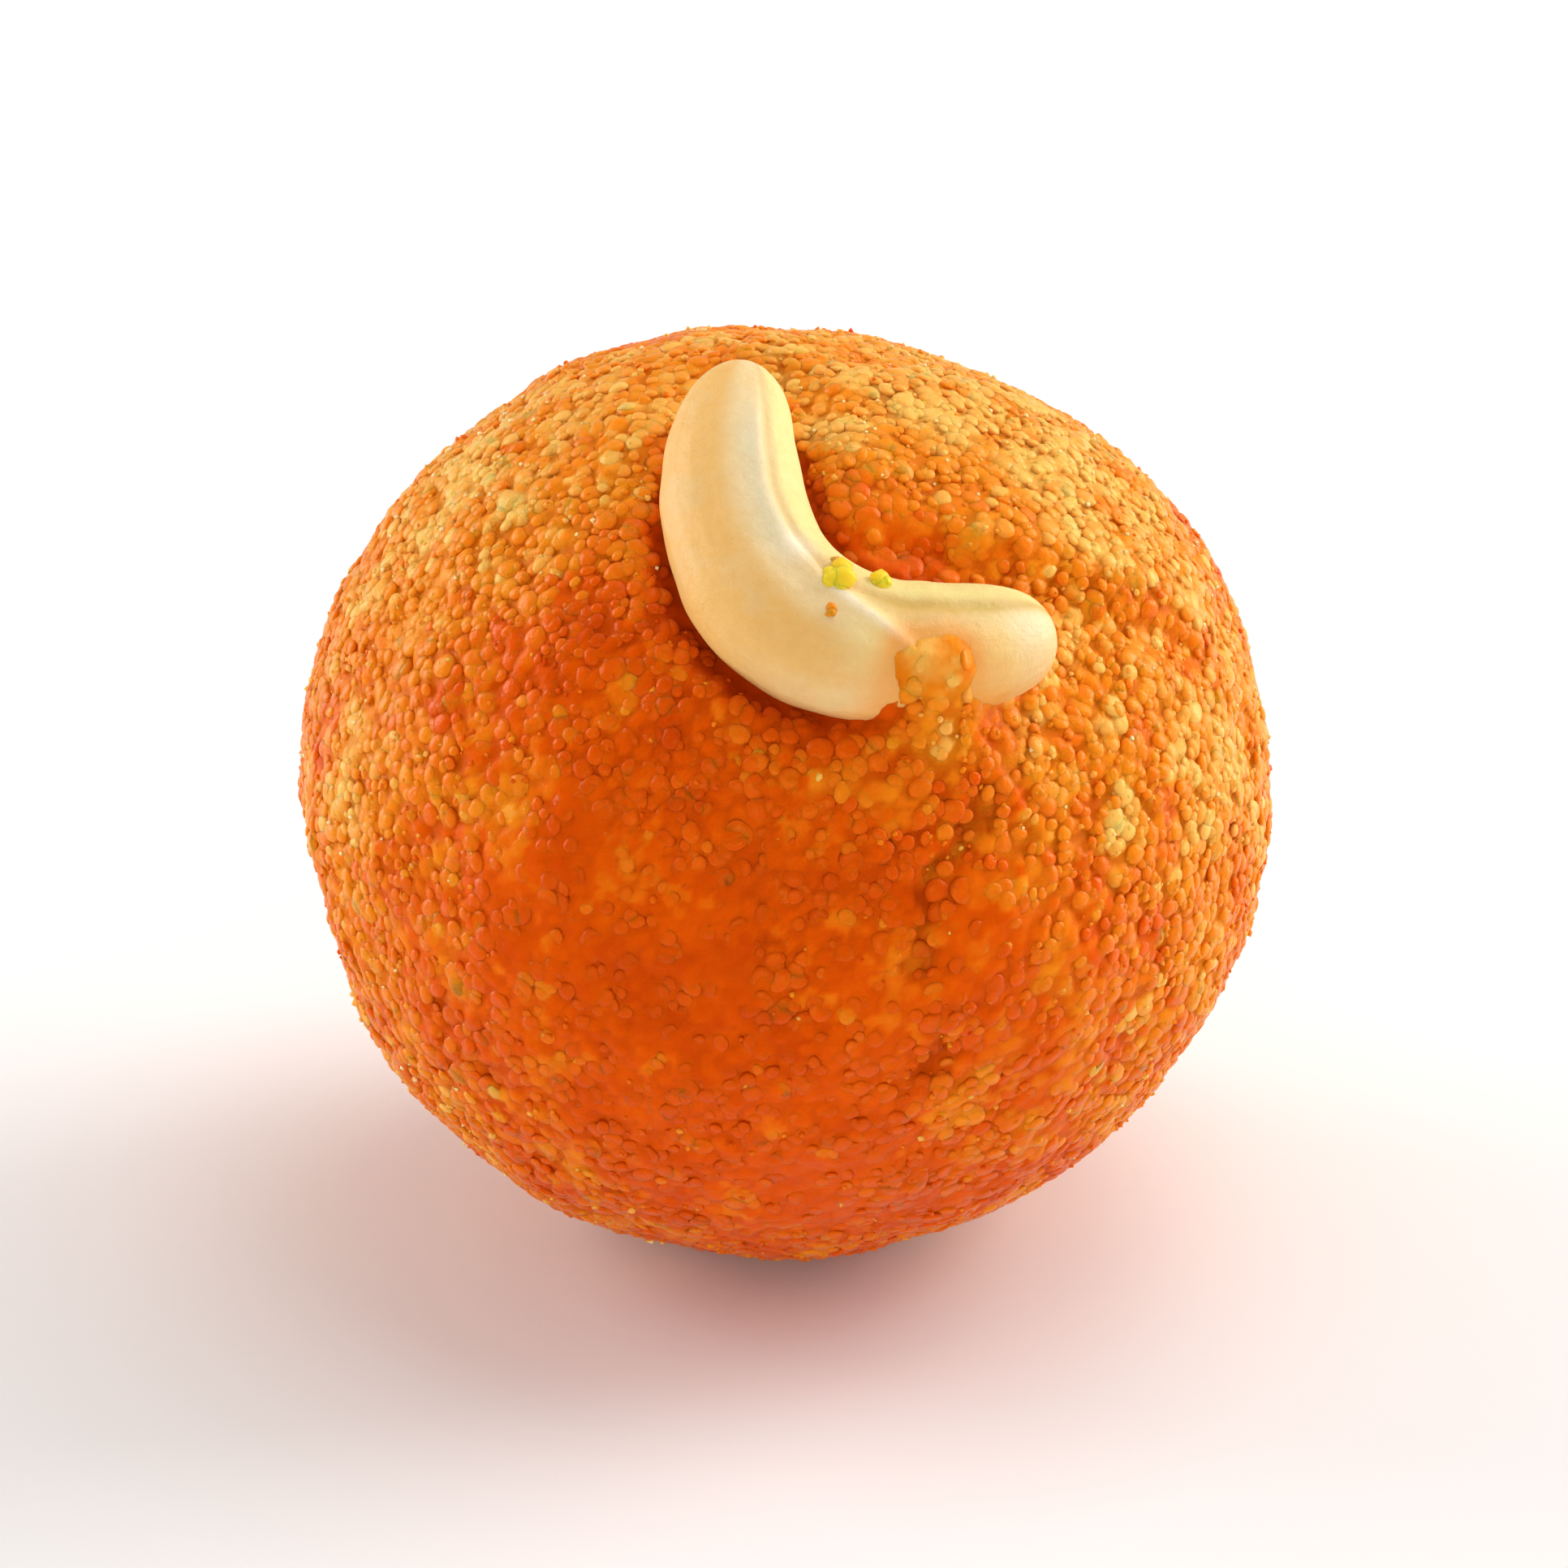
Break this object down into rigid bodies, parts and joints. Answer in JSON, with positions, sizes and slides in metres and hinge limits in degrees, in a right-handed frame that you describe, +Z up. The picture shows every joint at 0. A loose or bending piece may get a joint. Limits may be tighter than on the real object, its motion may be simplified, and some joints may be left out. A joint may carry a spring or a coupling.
{
  "type": "motichoor ladoo",
  "caption": "Round sweet of tiny syrup-soaked gram-flour pearls pressed into a ball, with a cashew kernel set into its crown; it rests on a small flat spot.",
  "frame": {"origin": "middle of the flat spot that the ladoo rests on, straight below the ball's centre", "axes": "+Z up through the ball's centre; -Y is the front, the side that the cashew kernel faces; +X is to the right seen from the front, the side that the kernel's shorter visible arm points to"},
  "size_m": [0.0483, 0.0478, 0.0476],
  "materials": {
    "pressed_boondi": "saffron orange gram-flour pearls, moist and glossy with syrup and ghee, redder in the crevices between them",
    "cashew": "ivory kernel, satin, tan on its rounded side and paler along its ridges, stained orange where it touches the sweet"
  },
  "bodies": {
    "root": {"ladoo": "pressed_boondi", "cashew": "cashew"}
  },
  "joints": []
}
